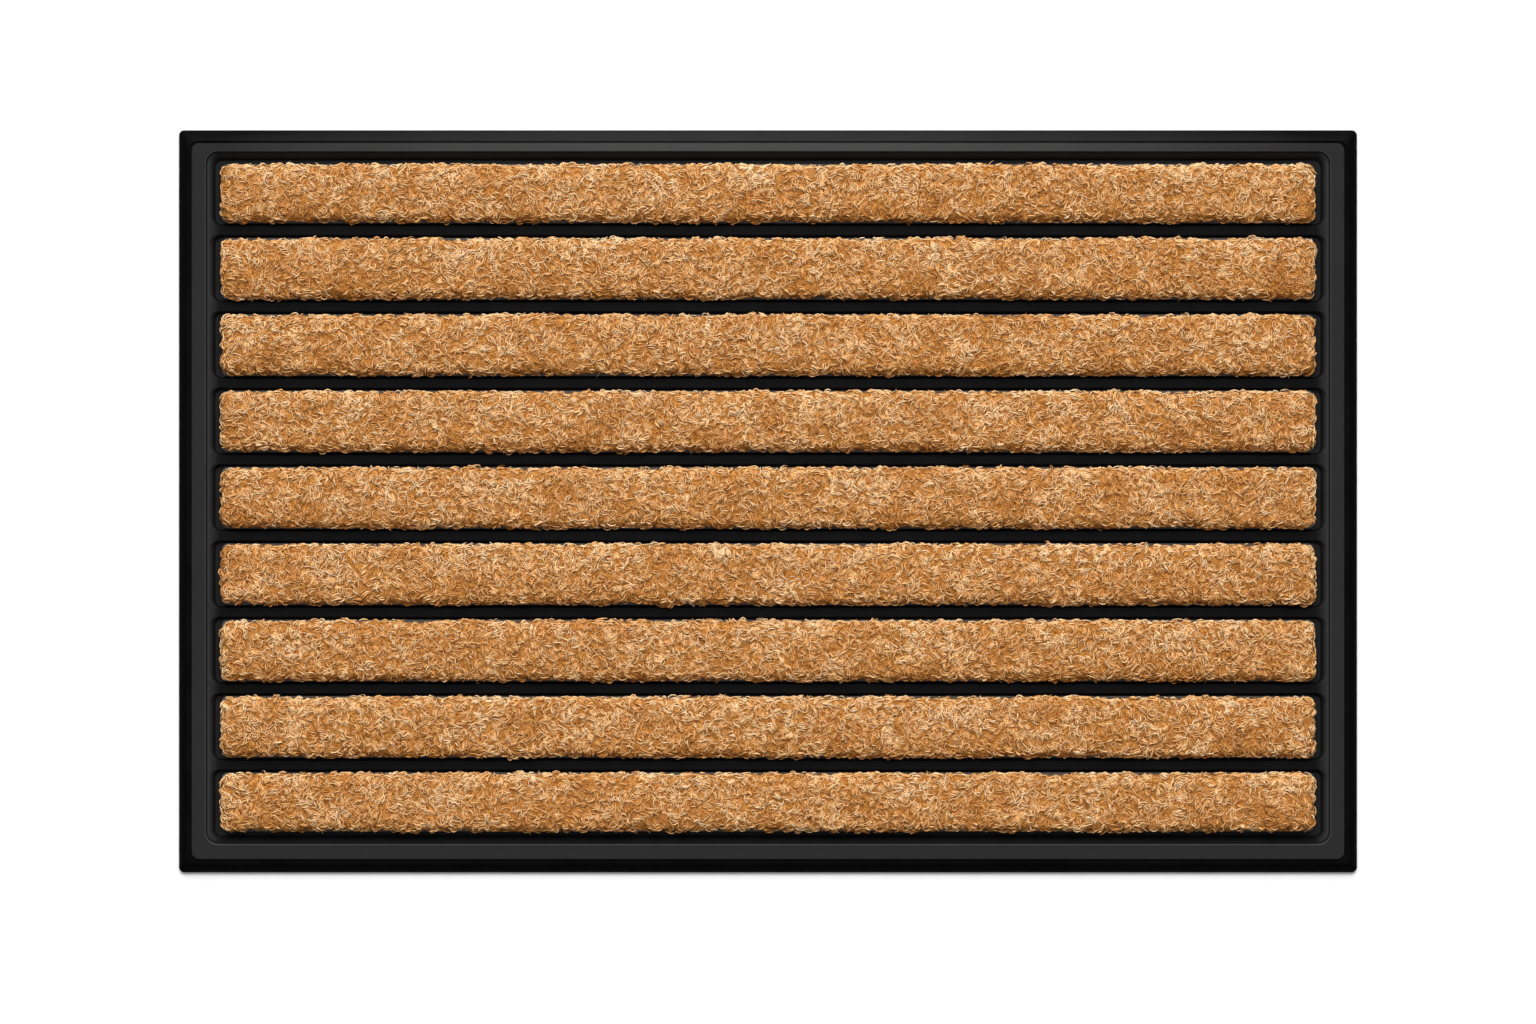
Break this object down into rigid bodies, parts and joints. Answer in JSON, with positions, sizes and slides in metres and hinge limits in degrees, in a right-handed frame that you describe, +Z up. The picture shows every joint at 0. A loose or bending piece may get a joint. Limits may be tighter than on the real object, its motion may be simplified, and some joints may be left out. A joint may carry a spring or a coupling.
{
  "type": "door mat",
  "caption": "Rectangular scraper door mat: a black moulded rubber tray with a bevelled border and long pockets that hold raised strips of coir pile.",
  "frame": {"origin": "on the floor, under the middle of the mat", "axes": "+X along the strips, +Y towards the back edge (the one with the narrower rim), +Z up"},
  "size_m": [0.8, 0.504, 0.0168],
  "materials": {
    "tray_rubber": "black moulded rubber, satin to matte, with a fine grain",
    "coir_fibre": "natural golden-brown coconut fibre, dry, curled and matte",
    "vinyl_backing": "dark brown PVC sheet",
    "adhesive_film": "clear amber contact adhesive, dried"
  },
  "bodies": {
    "root": {"rubber_tray": "tray_rubber", "coir_pile_1": "coir_fibre", "pile_backing_1": "vinyl_backing", "adhesive_coat_1": "adhesive_film", "coir_pile_2": "coir_fibre", "pile_backing_2": "vinyl_backing", "adhesive_coat_2": "adhesive_film", "coir_pile_3": "coir_fibre", "pile_backing_3": "vinyl_backing", "adhesive_coat_3": "adhesive_film", "coir_pile_4": "coir_fibre", "pile_backing_4": "vinyl_backing", "adhesive_coat_4": "adhesive_film", "coir_pile_5": "coir_fibre", "pile_backing_5": "vinyl_backing", "adhesive_coat_5": "adhesive_film", "coir_pile_6": "coir_fibre", "pile_backing_6": "vinyl_backing", "adhesive_coat_6": "adhesive_film", "coir_pile_7": "coir_fibre", "pile_backing_7": "vinyl_backing", "adhesive_coat_7": "adhesive_film", "coir_pile_8": "coir_fibre", "pile_backing_8": "vinyl_backing", "adhesive_coat_8": "adhesive_film", "coir_pile_9": "coir_fibre", "pile_backing_9": "vinyl_backing", "adhesive_coat_9": "adhesive_film"}
  },
  "joints": []
}
